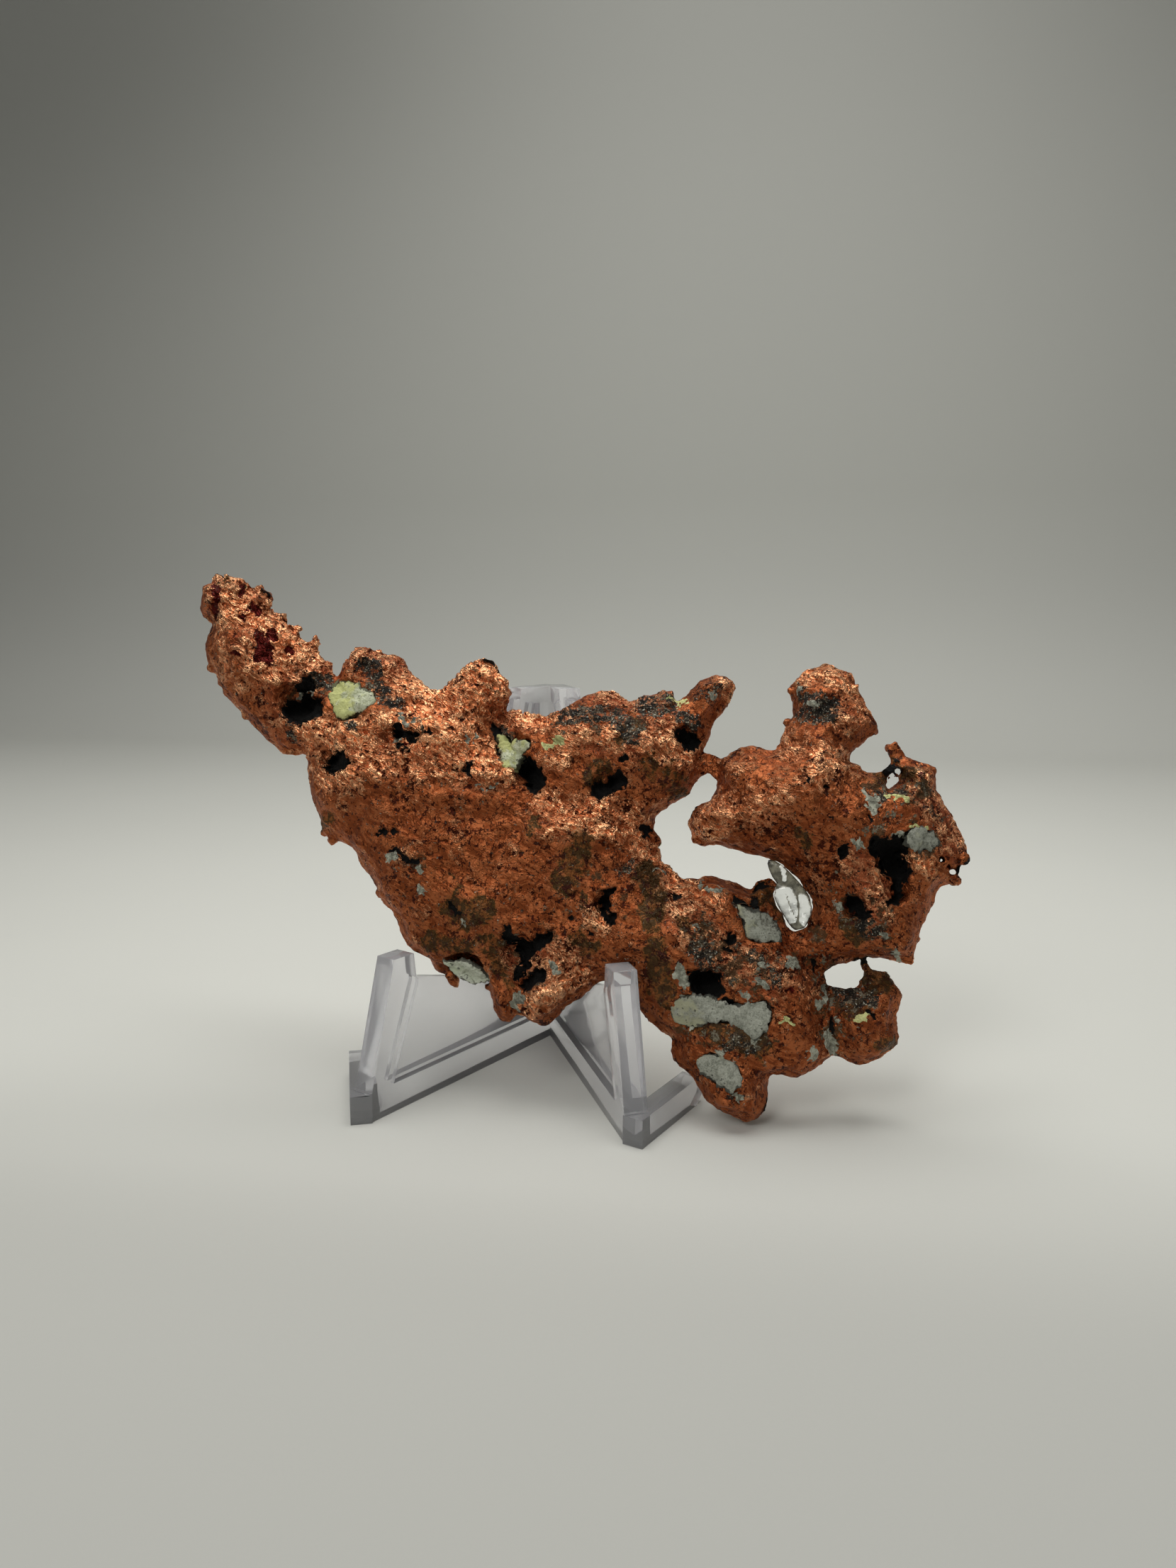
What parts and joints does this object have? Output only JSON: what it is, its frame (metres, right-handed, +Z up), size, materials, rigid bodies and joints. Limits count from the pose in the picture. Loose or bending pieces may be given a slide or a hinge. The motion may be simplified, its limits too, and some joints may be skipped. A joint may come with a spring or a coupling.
{
  "type": "native copper nugget on stand",
  "caption": "Branching plate of native copper with cavities and pale stone inclusions, leaning on a small clear V-shaped easel.",
  "frame": {"origin": "bottom centre of the whole bounding box, on the surface that the easel stands on", "axes": "+X along the nugget's length, towards its lobed mass; -Y is the front, which the nugget shows; +Z up"},
  "size_m": [0.1396, 0.05, 0.0903],
  "materials": {
    "copper": "worn, partly burnished native copper",
    "pale_stone": "dull",
    "calcite": "clear, wavy",
    "acrylic": "clear, polished, lightly scuffed"
  },
  "bodies": {
    "root": {"copper_nugget": "copper", "stone_upper_left": "pale_stone", "stone_top_notch": "pale_stone", "stone_lower_edge": "pale_stone", "stone_middle_band": "pale_stone", "stone_triangle": "pale_stone", "stone_tip_patch": "pale_stone", "stone_right_side": "pale_stone", "clear_calcite": "calcite", "display_stand": "acrylic"}
  },
  "joints": []
}
